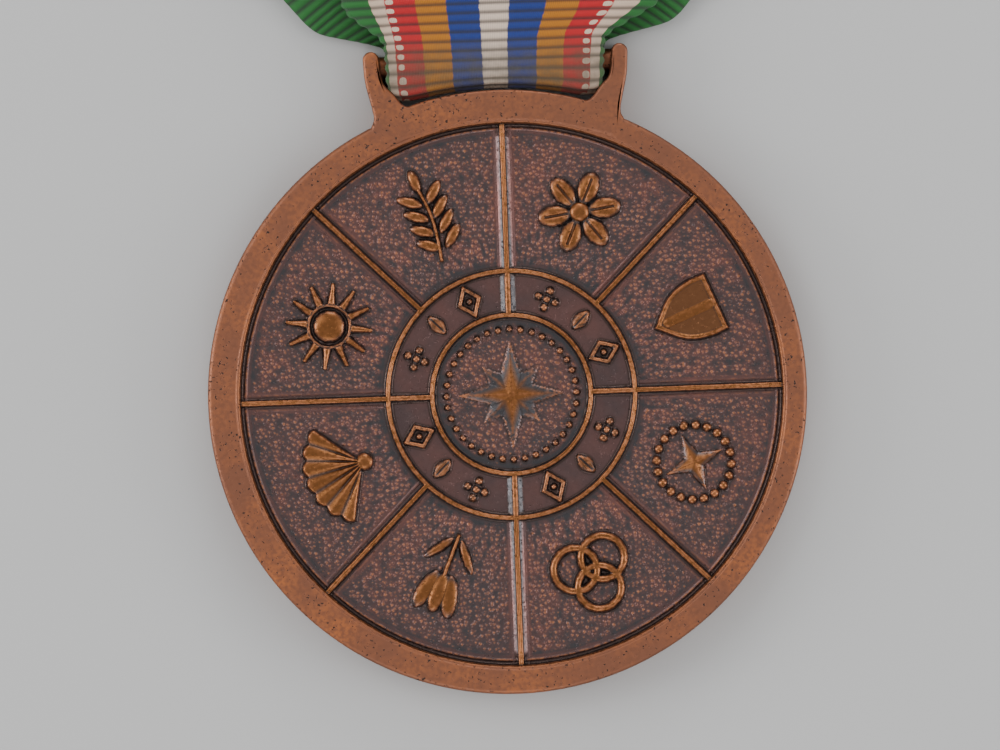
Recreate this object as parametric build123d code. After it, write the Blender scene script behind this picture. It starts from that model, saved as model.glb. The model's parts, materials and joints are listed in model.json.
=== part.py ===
"""Military service medal: a struck bronze disc with a loop, hung by a looped ribbon from a pin brooch.

It lies on its back, face up. +Z is out of the face, +Y runs from the disc to the brooch, and the
origin is under the middle of its bounding box. Sizes are in millimetres.
"""
import os
from math import acos, atan2, cos, degrees, hypot, sin, sqrt

from build123d import *

# --- Disc -----------------------------------------------------------------------------------------
disc_diameter = 40.0
disc_thickness = 3.0
rim_width = 1.8
face_depth = 0.75          # from the rim's top down to the obverse field
face_wall_run = 0.45       # how far the rim's inner wall leans inwards
back_rim_width = 2.0
back_depth = 0.5           # from the reverse rim up to the reverse field
back_wall_run = 0.4
face_edge_round = 0.6
back_edge_round = 0.4

# --- Raised dividers on the obverse ---------------------------------------------------------------
outer_ring_radius = 8.25
inner_ring_radius = 5.3
rib_count = 8
divider_height = 0.4
divider_top_width = 0.28
divider_foot_width = 0.9

# --- Loop, struck in one piece with the disc ------------------------------------------------------
neck_rise = 0.35           # the neck's edge above the disc's own circle
neck_half_width = 7.9
slot_half_low = 5.8        # half the slot's width at its bottom
slot_half_high = 7.75      # half the slot's width at the crossbar
ear_width = 1.1
ear_edge_round = 0.25
crossbar_radius = 0.8
slot_gap = 0.4             # between the ribbon's fold and the bottom of the slot

# --- Ribbon ---------------------------------------------------------------------------------------
ribbon_width = 35.0
ribbon_thickness = 0.45
ribbon_drop = 43.8         # from the crossbar's axis to the brooch rod's axis, along Y
ribbon_waist_half = 6.5    # half the width of the gathered ribbon in the slot
waist_clearance = 0.3      # beyond the circle that the loop sweeps
flare_middle_half = 12.5
flare_middle_run = 2.3
flare_run = 7.6            # length in which the gathered waist opens to the full width
fold_clearance = 0.08      # radial, round the crossbar and round the rod
floor_gap = 0.07           # under the ribbon's lowest fold

# --- Lap seam on the ribbon's back leaf -----------------------------------------------------------
lap_length = 8.0
lap_from_rod = 9.0         # from the rod's axis to the near end of the lap
lap_sink = 0.05
stitch_length = 1.8
stitch_thread = 0.22
stitch_pitch = 3.1
stitch_count = 11
stitch_row_inset = 1.6

# --- Brooch ---------------------------------------------------------------------------------------
rod_radius = 0.9
rod_end_chamfer = 0.15
boss_wall = 0.95           # metal round the rod in each end fitting
ribbon_side_gap = 0.8      # between the ribbon's edge and each end fitting
fitting_depth = 3.6        # along Y
fitting_corner_round = 0.4
hinge_fitting_width = 2.6
catch_fitting_width = 1.9
stem_height = 1.7          # stem axis above the surface that the medal lies on
stem_to_rod = 2.95         # stem axis to rod axis
stem_radius = 0.45
stem_taper = 4.0
stem_tip_radius = 0.06
stem_past_catch = 0.45
stem_neck_radius = 0.6
stem_neck_length = 1.9
eye_radius = 1.15
eye_thickness = 1.4
eye_side_clearance = 0.1
eye_roof_clearance = 0.2
rivet_radius = 0.5
rivet_clearance = 0.05
rivet_head_radius = 0.85
rivet_head_height = 0.3

# --- Turning lock in the catch --------------------------------------------------------------------
lock_radius = 1.12
lock_wall = 0.5
lock_clearance = 0.08
lock_mouth = 1.2
lock_collar_radius = 1.4
lock_collar_length = 0.25
lock_end_gap = 0.1
lock_recess_clearance = 0.15
lock_tab_length = 2.9
lock_tab_thickness = 0.7
lock_tab_width = 0.45
lock_tab_gap = 0.25
lock_tab_round = 0.3

# --- Worked out from the sizes above --------------------------------------------------------------
disc_radius = disc_diameter / 2
neck_radius = disc_radius + neck_rise
crossbar_fold_radius = crossbar_radius + fold_clearance + ribbon_thickness
rod_fold_radius = rod_radius + fold_clearance + ribbon_thickness
boss_radius = rod_radius + boss_wall
crossbar_rise = neck_radius + slot_gap + crossbar_fold_radius
top_reach = max(boss_radius, fitting_depth / 2 + rivet_head_height)
overall_length = disc_radius + crossbar_rise + ribbon_drop + top_reach
disc_y = disc_radius - overall_length / 2
crossbar_y = disc_y + crossbar_rise
crossbar_z = crossbar_fold_radius + floor_gap
rod_y = crossbar_y + ribbon_drop
rod_z = stem_height + stem_to_rod
fitting_face_x = ribbon_width / 2 + ribbon_side_gap
hinge_outer_x = -(fitting_face_x + hinge_fitting_width)
hinge_x = -(fitting_face_x + hinge_fitting_width / 2)
catch_outer_x = fitting_face_x + catch_fitting_width
field_z = disc_thickness - face_depth


def disc_plate():
    """The disc, turned from its half section: rims on both sides, fields sunk between them."""
    face_rim_inner = disc_radius - rim_width
    back_rim_inner = disc_radius - back_rim_width
    back_corner = (disc_radius - back_edge_round, 0)
    side_low = (disc_radius, back_edge_round)
    side_high = (disc_radius, disc_thickness - face_edge_round)
    face_corner = (disc_radius - face_edge_round, disc_thickness)
    section = [
        Polyline(
            (0, back_depth),
            (back_rim_inner - back_wall_run, back_depth),
            (back_rim_inner, 0),
            back_corner,
        ),
        RadiusArc(back_corner, side_low, -back_edge_round),
        Line(side_low, side_high),
        RadiusArc(side_high, face_corner, -face_edge_round),
        Polyline(
            face_corner,
            (face_rim_inner, disc_thickness),
            (face_rim_inner - face_wall_run, field_z),
            (0, field_z),
            (0, back_depth),
        ),
    ]
    edges = [edge for piece in section for edge in piece.edges()]
    return revolve(Plane.XZ * make_face(edges), Axis.Z)


def divider_section(centre):
    """A ridge's cross section: a narrow flat top over sloping sides, with its foot in the field."""
    half_top = divider_top_width / 2
    half_foot = divider_foot_width / 2
    top = field_z + divider_height
    foot = field_z - divider_height
    return Polygon(
        (centre - half_foot, foot),
        (centre + half_foot, foot),
        (centre + half_foot, field_z),
        (centre + half_top, top),
        (centre - half_top, top),
        (centre - half_foot, field_z),
        align=None,
    )


def dividers():
    """Two rings and the straight ribs: every other rib runs on in to the inner ring."""
    radii = (outer_ring_radius, inner_ring_radius)
    ridges = [revolve(Plane.XZ * divider_section(radius), Axis.Z) for radius in radii]
    rib_end = disc_radius - rim_width
    for number in range(rib_count):
        start = inner_ring_radius if number % 2 == 0 else outer_ring_radius
        rib = extrude(Plane.YZ.offset(start) * divider_section(0), rib_end - start)
        ridges.append(Rot(0, 0, number * 360 / rib_count) * rib)
    return ridges


def ear(side):
    """One ear of the loop, from the neck up to a round end about the crossbar."""
    foot_in = (slot_half_low, sqrt(neck_radius**2 - slot_half_low**2))
    foot_out = (neck_half_width, sqrt(disc_radius**2 - neck_half_width**2))
    root_in = (slot_half_low, foot_in[1] - rim_width / 2)
    root_out = (neck_half_width - rim_width / 2, foot_out[1] - rim_width / 2)
    top_in = (slot_half_high, crossbar_rise)
    top_out = (slot_half_high + ear_width, crossbar_rise)
    cap = (slot_half_high + ear_width / 2, crossbar_rise + ear_width / 2)
    lean_in = (top_in[0] - foot_in[0], top_in[1] - foot_in[1])
    lean_out = (foot_out[0] - top_out[0], foot_out[1] - top_out[1])
    outline = [
        Line(root_in, foot_in),
        Spline(foot_in, top_in, tangents=(lean_in, (0, 1))),
        ThreePointArc(top_in, cap, top_out),
        Spline(top_out, foot_out, tangents=((0, -1), lean_out)),
        Line(foot_out, root_out),
        Line(root_out, root_in),
    ]
    plate = extrude(make_face([piece.edge() for piece in outline]), disc_thickness)
    upper = plate.edges().filter_by(Axis.Z, reverse=True).filter_by(lambda edge: edge.center().Y > foot_in[1])
    plate = fillet(upper, ear_edge_round)
    return plate if side > 0 else mirror(plate, Plane.YZ)


def neck():
    """The strip of rim between the ears that closes the bottom of the slot."""
    reach = 2 * rim_width
    strip = Pos(0, disc_radius, disc_thickness / 2) * Box(2 * neck_half_width, reach, disc_thickness)
    round_plate = extrude(Circle(neck_radius), disc_thickness)
    inner = extrude(Circle(disc_radius - rim_width / 2), disc_thickness)
    return (strip & round_plate) - inner


def medal_disc():
    """Disc, neck, ears and crossbar as one struck piece."""
    bar_length = 2 * slot_half_high + ear_width
    crossbar = Pos(0, crossbar_rise, crossbar_z) * Rot(0, 90, 0) * Cylinder(crossbar_radius, bar_length)
    pieces = [neck(), ear(1), ear(-1), crossbar, *dividers()]
    return Pos(0, disc_y, 0) * disc_plate().fuse(*pieces).clean()


def belt_outline(centre_a, radius_a, centre_b, radius_b):
    """Two circles and their two outer tangents, as one closed outline in the plane."""
    points = tangent_points(centre_a, radius_a, centre_b, radius_b)
    ends = Pos(*centre_a) * Circle(radius_a) + Pos(*centre_b) * Circle(radius_b)
    return (ends + Polygon(*points, align=None)).clean()


def tangent_points(centre_a, radius_a, centre_b, radius_b):
    """Where the tangents touch: front of a, front of b, back of b, back of a."""
    run = centre_b[0] - centre_a[0]
    rise = centre_b[1] - centre_a[1]
    heading = atan2(rise, run)
    opening = acos((radius_a - radius_b) / hypot(run, rise))
    front = heading + opening
    back = heading - opening
    return [
        (centre_a[0] + radius_a * cos(front), centre_a[1] + radius_a * sin(front)),
        (centre_b[0] + radius_b * cos(front), centre_b[1] + radius_b * sin(front)),
        (centre_b[0] + radius_b * cos(back), centre_b[1] + radius_b * sin(back)),
        (centre_a[0] + radius_a * cos(back), centre_a[1] + radius_a * sin(back)),
    ]


crossbar_centre = (crossbar_y, crossbar_z)
rod_centre = (rod_y, rod_z)
inner_belt = (
    crossbar_centre,
    crossbar_fold_radius - ribbon_thickness,
    rod_centre,
    rod_fold_radius - ribbon_thickness,
)


def lap_plane(distance_from_rod):
    """A plane on the back leaf's inner face: x across the ribbon, z into the space between the leaves."""
    leaf = tangent_points(*inner_belt)
    upper = leaf[2]
    lower = leaf[3]
    length = hypot(upper[0] - lower[0], upper[1] - lower[1])
    down = ((lower[0] - upper[0]) / length, (lower[1] - upper[1]) / length)
    spot = (upper[0] + down[0] * distance_from_rod, upper[1] + down[1] * distance_from_rod)
    return Plane(origin=(0, *spot), x_dir=(1, 0, 0), z_dir=(0, down[1], -down[0]))


def ribbon():
    """One strip looped round the crossbar and the rod, gathered at the slot, lapped on the back leaf."""
    side = belt_outline(crossbar_centre, crossbar_fold_radius, rod_centre, rod_fold_radius)
    hollow = belt_outline(*inner_belt)
    half = ribbon_width / 2
    loop = extrude(Plane.YZ * (side - hollow), half, both=True)
    ear_sweep = hypot(ear_width / 2, max(crossbar_z, disc_thickness - crossbar_z))
    waist_end = crossbar_y + ear_sweep + waist_clearance
    low = crossbar_y - 2 * crossbar_fold_radius
    high = rod_y + 2 * rod_fold_radius
    right_side = [
        (ribbon_waist_half, low),
        (ribbon_waist_half, waist_end),
        (flare_middle_half, waist_end + flare_middle_run),
        (half, waist_end + flare_run),
        (half, high),
    ]
    left_side = [(-x, y) for x, y in reversed(right_side)]
    plan = extrude(Polygon(*right_side, *left_side, align=None), rod_z + 2 * rod_fold_radius)
    lap_thickness = ribbon_thickness + lap_sink
    lap_middle = lap_plane(lap_from_rod + lap_length / 2)
    lap = lap_middle * Pos(0, 0, lap_thickness / 2 - lap_sink) * Box(ribbon_width, lap_length, lap_thickness)
    return (loop & plan) + lap


def seam_stitches():
    """Two rows of thread loops through both plies of the lap."""
    height = 2 * ribbon_thickness + 2 * stitch_thread
    outer = Box(stitch_length, stitch_thread, height)
    inner = Box(stitch_length - 2 * stitch_thread, stitch_thread, 2 * ribbon_thickness)
    loop = outer - inner
    rows = (lap_from_rod + stitch_row_inset, lap_from_rod + lap_length - stitch_row_inset)
    first_x = -stitch_pitch * (stitch_count - 1) / 2
    return [
        lap_plane(row) * Pos(first_x + number * stitch_pitch, 0, 0) * loop
        for row in rows
        for number in range(stitch_count)
    ]


def rod_between(start_x, end_x, radius):
    """A solid round bar on the brooch rod's axis."""
    length = end_x - start_x
    return Pos((start_x + end_x) / 2, rod_y, rod_z) * Rot(0, 90, 0) * Cylinder(radius, length)


def brooch_rod():
    """The round bar inside the ribbon's top fold, held in both end fittings."""
    bar = rod_between(hinge_outer_x, catch_outer_x, rod_radius)
    return chamfer(bar.edges().filter_by(GeomType.CIRCLE), rod_end_chamfer)


def end_fitting(start_x, end_x):
    """A block that stands on the surface, with a round boss about the rod."""
    width = end_x - start_x
    middle = (start_x + end_x) / 2
    block = Pos(middle, rod_y, rod_z / 2) * Box(width, fitting_depth, rod_z)
    feet = block.edges().filter_by(Axis.X).sort_by(Axis.Z)[:2]
    block = fillet(feet, fitting_corner_round)
    boss = rod_between(start_x, end_x, boss_radius)
    bore = rod_between(start_x, end_x, rod_radius)
    return block + boss - bore


def hinge_bracket():
    """The fork that holds the pin stem's eye."""
    body = end_fitting(hinge_outer_x, -fitting_face_x)
    slot_top = stem_height + eye_radius + eye_roof_clearance
    slot_width = eye_thickness + 2 * eye_side_clearance
    slot = Pos(hinge_x, rod_y, slot_top / 2) * Box(2 * hinge_fitting_width, slot_width, slot_top)
    rivet_bore = Pos(hinge_x, rod_y, stem_height) * Rot(90, 0, 0) * Cylinder(rivet_radius, 2 * fitting_depth)
    return body - slot - rivet_bore


def hinge_rivet():
    """A shank across the fork with a low head at each end."""
    head_offset = fitting_depth / 2 + rivet_head_height / 2
    shank = Cylinder(rivet_radius, fitting_depth)
    head = Cylinder(rivet_head_radius, rivet_head_height)
    head = fillet(head.edges().group_by(Axis.Z)[-1], rivet_head_height * 0.6)
    heads = Pos(0, 0, head_offset) * head + Rot(180, 0, 0) * Pos(0, 0, head_offset) * head
    return Pos(hinge_x, rod_y, stem_height) * Rot(90, 0, 0) * (shank + heads)


def pin_stem():
    """An eye, a short thick neck, a straight needle and a long point."""
    tip_x = catch_outer_x + stem_past_catch
    needle_end = tip_x - stem_taper
    needle_start = hinge_x + eye_radius / 2
    neck_end = hinge_x + eye_radius / 2 + stem_neck_length
    along = Pos(0, rod_y, stem_height) * Rot(0, 90, 0)
    needle_length = needle_end - needle_start
    needle = along * Pos(0, 0, needle_start + needle_length / 2) * Cylinder(stem_radius, needle_length)
    neck_length = neck_end - needle_start
    neck_cone = Cone(stem_neck_radius, stem_radius, neck_length)
    thick = along * Pos(0, 0, needle_start + neck_length / 2) * neck_cone
    point = along * Pos(0, 0, needle_end + stem_taper / 2) * Cone(stem_radius, stem_tip_radius, stem_taper)
    at_eye = Pos(hinge_x, rod_y, stem_height) * Rot(90, 0, 0)
    eye = at_eye * Cylinder(eye_radius, eye_thickness)
    bore = at_eye * Cylinder(rivet_radius + rivet_clearance, 2 * eye_thickness)
    return eye + needle + thick + point - bore


def on_catch_axis(start_x, end_x, radius):
    """A solid round bar on the turning lock's axis."""
    length = end_x - start_x
    return Pos((start_x + end_x) / 2, rod_y, stem_height) * Rot(0, 90, 0) * Cylinder(radius, length)


def catch_mouth(start_x, end_x):
    """The straight way in to the catch, from below."""
    length = end_x - start_x
    return Pos((start_x + end_x) / 2, rod_y, stem_height / 2) * Box(length, lock_mouth, stem_height)


def catch_housing():
    """The fitting at the pin's point: a bored block, open below, that the lock turns in."""
    body = end_fitting(fitting_face_x, catch_outer_x)
    bore = on_catch_axis(fitting_face_x, catch_outer_x, lock_radius + lock_clearance)
    recess_end = fitting_face_x + lock_collar_length + 2 * lock_end_gap
    recess_radius = lock_collar_radius + lock_recess_clearance
    recess = on_catch_axis(fitting_face_x, recess_end, recess_radius)
    recess_foot = Pos((fitting_face_x + recess_end) / 2, rod_y, stem_height / 2) * Box(
        recess_end - fitting_face_x, 2 * recess_radius, stem_height
    )
    return body - bore - recess - recess_foot - catch_mouth(fitting_face_x, catch_outer_x)


def catch_lock():
    """A split sleeve with a collar at each end and a thumb tab. Turned, it closes the catch's mouth."""
    inner_end = fitting_face_x + lock_end_gap
    collar_start = catch_outer_x + lock_end_gap
    tab_start = catch_outer_x + lock_tab_gap
    outer_end = tab_start + lock_tab_width
    sleeve = on_catch_axis(inner_end, outer_end, lock_radius)
    inner_collar = on_catch_axis(inner_end, inner_end + lock_collar_length, lock_collar_radius)
    outer_collar = on_catch_axis(collar_start, outer_end, lock_collar_radius)
    tab_middle = (tab_start + outer_end) / 2
    tab = Pos(tab_middle, rod_y - lock_tab_length / 2, stem_height) * Box(
        lock_tab_width, lock_tab_length, lock_tab_thickness
    )
    tab = fillet(tab.edges().filter_by(Axis.X).sort_by(Axis.Y)[:2], lock_tab_round)
    hole = on_catch_axis(inner_end, outer_end, lock_radius - lock_wall)
    return sleeve + inner_collar + outer_collar + tab - hole - catch_mouth(inner_end, outer_end)


NODES = {
    "medal_disc": medal_disc,
    "ribbon": ribbon,
    "seam_stitches": seam_stitches,
    "brooch_rod": brooch_rod,
    "hinge_bracket": hinge_bracket,
    "hinge_rivet": hinge_rivet,
    "pin_stem": pin_stem,
    "catch_housing": catch_housing,
    "catch_lock": catch_lock,
}

os.makedirs("parts", exist_ok=True)
for node_name, make in NODES.items():
    made = make()
    shape = Compound(children=[*made]) if isinstance(made, list) else made
    export_step(shape, f"parts/{node_name}.step")
    print(f"{node_name:15} {shape.volume:9.3f} mm3")

print(f"length {overall_length:.3f}, disc centre y {disc_y:.4f}")
print(f"crossbar y {crossbar_y:.4f} z {crossbar_z:.4f}, rod y {rod_y:.4f} z {rod_z:.4f}")
print(f"hinge x {hinge_x:.4f}, catch end x {catch_outer_x:.4f}, stem z {stem_height:.4f}")
print(f"leaf slope {degrees(atan2(rod_z - crossbar_z, ribbon_drop)):.2f} degrees")
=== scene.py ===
# %% [markdown]
# # A struck service medal on its ribbon
# A service medal is a bronze disc struck between two dies. It hangs by a loop from a folded ribbon, and the
# ribbon hangs from a pin brooch. The frame below holds the sizes and the hinges, so this lesson only adds
# looks: relief, rim, cloth and thread. Lengths are in millimetres until a mesh is made, and metres after
# that.

# %% Load the frame
import json
import math

import bpy
import numpy as np
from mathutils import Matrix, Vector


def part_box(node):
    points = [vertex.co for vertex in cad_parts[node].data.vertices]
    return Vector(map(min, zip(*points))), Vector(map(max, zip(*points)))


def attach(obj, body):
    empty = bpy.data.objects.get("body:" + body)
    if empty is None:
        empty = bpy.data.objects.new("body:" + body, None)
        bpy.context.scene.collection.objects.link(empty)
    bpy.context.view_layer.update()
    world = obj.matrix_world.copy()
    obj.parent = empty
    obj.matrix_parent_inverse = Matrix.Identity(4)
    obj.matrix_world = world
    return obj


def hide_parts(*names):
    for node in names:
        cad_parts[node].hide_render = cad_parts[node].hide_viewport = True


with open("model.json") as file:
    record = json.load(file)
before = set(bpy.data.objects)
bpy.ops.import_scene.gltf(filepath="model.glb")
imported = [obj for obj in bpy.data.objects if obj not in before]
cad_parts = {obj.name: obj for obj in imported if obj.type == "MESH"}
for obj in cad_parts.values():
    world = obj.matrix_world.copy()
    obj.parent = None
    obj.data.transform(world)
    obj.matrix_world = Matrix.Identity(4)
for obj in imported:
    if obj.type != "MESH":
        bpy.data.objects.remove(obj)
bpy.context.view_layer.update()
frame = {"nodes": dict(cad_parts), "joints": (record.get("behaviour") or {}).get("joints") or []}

mm = 0.001
joints = {joint["name"]: joint for joint in frame["joints"]}
disc_low, disc_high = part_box("medal_disc")
disc_radius = (disc_high.x - disc_low.x) / 2 / mm
disc_y = disc_low.y / mm + disc_radius
rim_top = disc_high.z / mm
bar_y, bar_z = (value / mm for value in joints["pendant_swing"]["pos_m"][1:])
rod_y, rod_z = (value / mm for value in joints["ribbon_swing"]["pos_m"][1:])
print(f"disc radius {disc_radius:.2f}, centre y {disc_y:.2f}, rim top {rim_top:.2f}")
print(f"crossbar at y {bar_y:.2f} z {bar_z:.2f}, rod at y {rod_y:.2f} z {rod_z:.2f}")

# %% [markdown]
# ## Camera, table and light
# A medal is looked at flat on its back from above, so the camera hangs over it, turned a little, and sees
# the disc whole and the foot of the ribbon. An even white sky lights it from all round. Six large area
# lamps stand about it as well: the higher ones shape the relief and the low ones catch its edges. Large
# lamps throw soft shadows.

# %% Camera
def in_scene(name, data):
    """An object that carries data, linked into the scene."""
    made = bpy.data.objects.new(name, data)
    bpy.context.scene.collection.objects.link(made)
    return made


view_width = 66.7
view_turn = math.radians(2.1)
aim_right, aim_up = -0.5, 1.3
camera_height = 420.0
camera_data = bpy.data.cameras.new("overhead")
camera_data.sensor_width = 36.0
camera_data.lens = camera_data.sensor_width * (camera_height - rim_top) / view_width
camera_data.clip_start = 0.01
camera = in_scene("overhead", camera_data)
aim_x = aim_right * math.cos(view_turn) + aim_up * math.sin(view_turn)
aim_y = -aim_right * math.sin(view_turn) + aim_up * math.cos(view_turn)
camera.location = (aim_x * mm, (disc_y + aim_y) * mm, camera_height * mm)
camera.rotation_euler = (0, 0, -view_turn)
bpy.context.scene.camera = camera
print(f"lens {camera_data.lens:.0f} mm")

# %% Table top
def plain_material(name, colour, roughness):
    """A material of one colour, for what isn't part of the medal."""
    material = bpy.data.materials.new(name)
    material.use_nodes = True
    shader = material.node_tree.nodes["Principled BSDF"]
    shader.inputs["Base Color"].default_value = (*colour, 1)
    shader.inputs["Roughness"].default_value = roughness
    return material


table_reach = 2.0
table_mesh = bpy.data.meshes.new("table_top")
table_corners = [(x * table_reach, y * table_reach, 0) for x, y in ((-1, -1), (1, -1), (1, 1), (-1, 1))]
table_mesh.from_pydata(table_corners, [], [(0, 1, 2, 3)])
table = in_scene("table_top", table_mesh)
table_mesh.materials.append(plain_material("pale_table", (0.40, 0.40, 0.40), 0.9))
print(f"table top {2 * table_reach:.0f} m wide")


# %% Lamps
def soft_lamp(name, place, size, power):
    """A square area lamp at place (mm) that faces the disc's centre. Its power is in watts."""
    data = bpy.data.lights.new(name, "AREA")
    data.size = size * mm
    data.energy = power
    lamp = in_scene(name, data)
    lamp.location = [value * mm for value in place]
    aim = np.array([0, disc_y, 0]) - np.array(place)
    lamp.rotation_euler = (math.atan2(math.hypot(aim[0], aim[1]), -aim[2]), 0,
                           math.atan2(aim[1], aim[0]) - math.pi / 2)


# Each lamp has its place (x and y from the disc's centre, height over the table), its size and its power.
lamps = {"low_front": ((-60, -420, 260), 260, 0.7), "upper_left": ((-330, 240, 420), 300, 0.8),
         "right_fill": ((380, 60, 360), 340, 0.45), "low_left": ((-460, 40, 150), 220, 1.5),
         "low_right": ((460, -60, 150), 220, 1.1), "low_far": ((60, 460, 150), 220, 0.9)}
for name, ((from_x, from_y, height), size, power) in lamps.items():
    soft_lamp(name, (from_x, disc_y + from_y, height), size, power)
world = bpy.data.worlds.new("sky")
bpy.context.scene.world = world
world.use_nodes = True
sky = world.node_tree.nodes["Background"]
sky.inputs["Color"].default_value = (1, 1, 1, 1)
sky.inputs["Strength"].default_value = 0.95
print(f"{len(lamps)} lamps and a sky")

# %% [markdown]
# ## Finishes that are shared
# Old metal is never one colour. It is mottled, coarsely and finely, and it has small pits. Both effects are
# node groups that put out values. The bronze and the brass place both and the steel only the mottling, each
# at its own scale. The wear that follows the crests isn't a group, because it is worked out with the relief.

# %% Helpers for materials
def new_group(name, inputs, outputs):
    """An empty shader group with named float inputs (name: default) and float outputs."""
    group = bpy.data.node_groups.new(name, "ShaderNodeTree")
    for label, default in inputs.items():
        socket = group.interface.new_socket(label, in_out="INPUT", socket_type="NodeSocketFloat")
        socket.default_value = default
    for label in outputs:
        group.interface.new_socket(label, in_out="OUTPUT", socket_type="NodeSocketFloat")
    return group, group.nodes.new("NodeGroupInput"), group.nodes.new("NodeGroupOutput")


def math_node(tree, operation, first, second=None, clamp=False):
    """A Math node whose inputs are sockets or numbers. Returns its output."""
    node = tree.nodes.new("ShaderNodeMath")
    node.operation = operation
    node.use_clamp = clamp
    for slot, value in zip(node.inputs, (first, second)):
        if value is None:
            continue
        if isinstance(value, (int, float)):
            slot.default_value = value
        else:
            tree.links.new(value, slot)
    return node.outputs[0]


def noise_node(tree, scale, detail=3.0, roughness=0.55, stretch=None):
    """Noise on Object coordinates, per metre. stretch scales the axes unevenly. Returns its value."""
    place = tree.nodes.new("ShaderNodeTexCoord").outputs["Object"]
    if stretch:
        mapping = tree.nodes.new("ShaderNodeMapping")
        mapping.inputs["Scale"].default_value = stretch
        tree.links.new(place, mapping.inputs["Vector"])
        place = mapping.outputs["Vector"]
    node = tree.nodes.new("ShaderNodeTexNoise")
    node.inputs["Detail"].default_value = detail
    node.inputs["Roughness"].default_value = roughness
    tree.links.new(place, node.inputs["Vector"])
    if isinstance(scale, (int, float)):
        node.inputs["Scale"].default_value = scale
    else:
        tree.links.new(scale, node.inputs["Scale"])
    return node.outputs["Fac"]


def range_node(tree, value, low, high, to_low=0.0, to_high=1.0):
    """Maps value from low..high onto to_low..to_high, held at the ends."""
    node = tree.nodes.new("ShaderNodeMapRange")
    tree.links.new(value, node.inputs["Value"])
    for label, number in (("From Min", low), ("From Max", high), ("To Min", to_low), ("To Max", to_high)):
        node.inputs[label].default_value = number
    return node.outputs["Result"]


def mix_colour(tree, amount, first, second):
    """Mixes two colours, each a socket or an (r, g, b), by amount."""
    node = tree.nodes.new("ShaderNodeMix")
    node.data_type = "RGBA"
    tree.links.new(amount, node.inputs["Factor"])
    for slot, value in zip((node.inputs[6], node.inputs[7]), (first, second)):
        if isinstance(value, tuple):
            slot.default_value = (*value, 1)
        else:
            tree.links.new(value, slot)
    return node.outputs[2]


def attribute(tree, name):
    """The value of a mesh attribute."""
    node = tree.nodes.new("ShaderNodeAttribute")
    node.attribute_name = name
    return node.outputs["Fac"]


def bump_node(tree, height, distance, strength=1.0):
    """A Bump node; distance is in millimetres."""
    node = tree.nodes.new("ShaderNodeBump")
    node.inputs["Distance"].default_value = distance * mm
    node.inputs["Strength"].default_value = strength
    tree.links.new(height, node.inputs["Height"])
    return node.outputs["Normal"]


# %% Mottle and pits
mottle, mottle_in, mottle_out = new_group("mottle", {"Coarse": 260.0, "Fine": 1900.0}, ("Amount", "Grain"))
coarse = noise_node(mottle, mottle_in.outputs["Coarse"], 4.0)
fine = noise_node(mottle, mottle_in.outputs["Fine"], 3.0)
mottle.links.new(range_node(mottle, coarse, 0.36, 0.66), mottle_out.inputs["Amount"])
mottle.links.new(range_node(mottle, fine, 0.36, 0.66), mottle_out.inputs["Grain"])

pits, pits_in, pits_out = new_group("pits", {"Scale": 2600.0, "Cover": 0.62}, ("Mask",))
speck = noise_node(pits, pits_in.outputs["Scale"], 2.0, 0.4)
patch = noise_node(pits, 420.0, 2.0)
level = math_node(pits, "ADD", speck, math_node(pits, "MULTIPLY", patch, 0.22))
above = math_node(pits, "SUBTRACT", level, pits_in.outputs["Cover"])
pits.links.new(math_node(pits, "MULTIPLY", above, 14.0, clamp=True), pits_out.inputs["Mask"])
print("mottle and pits ready")


def place_group(tree, group, **values):
    """Puts a group into a material, with its inputs set, and returns its outputs."""
    node = tree.nodes.new("ShaderNodeGroup")
    node.node_tree = group
    for label, value in values.items():
        node.inputs[label].default_value = value
    return node.outputs


def start_material(name, metallic, roughness):
    """A material with its Principled shader. Returns the material, its tree and the shader."""
    material = bpy.data.materials.new(name)
    material.use_nodes = True
    shader = material.node_tree.nodes["Principled BSDF"]
    shader.inputs["Metallic"].default_value = metallic
    shader.inputs["Roughness"].default_value = roughness
    return material, material.node_tree, shader


# %% [markdown]
# ## The bronze
# The sunk fields hold a grey-purple tarnish, which is warmer where they are punched. The ridges and
# ornaments are rubbed to brown brass, and the flat rim is matt copper with dark pits. Numbers worked out
# with the relief say where each belongs: how high a point stands, how far it stands above or below what is
# round it, whether it is punched, and whether it is rim.

# %% Bronze material
tarnish = (0.048, 0.046, 0.049)
tarnish_warm = (0.135, 0.062, 0.054)
rubbed = (0.150, 0.056, 0.017)
bright = (0.330, 0.125, 0.055)
copper = (0.350, 0.116, 0.043)
copper_dull = (0.185, 0.075, 0.044)
pit_dark = (0.040, 0.026, 0.022)


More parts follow.
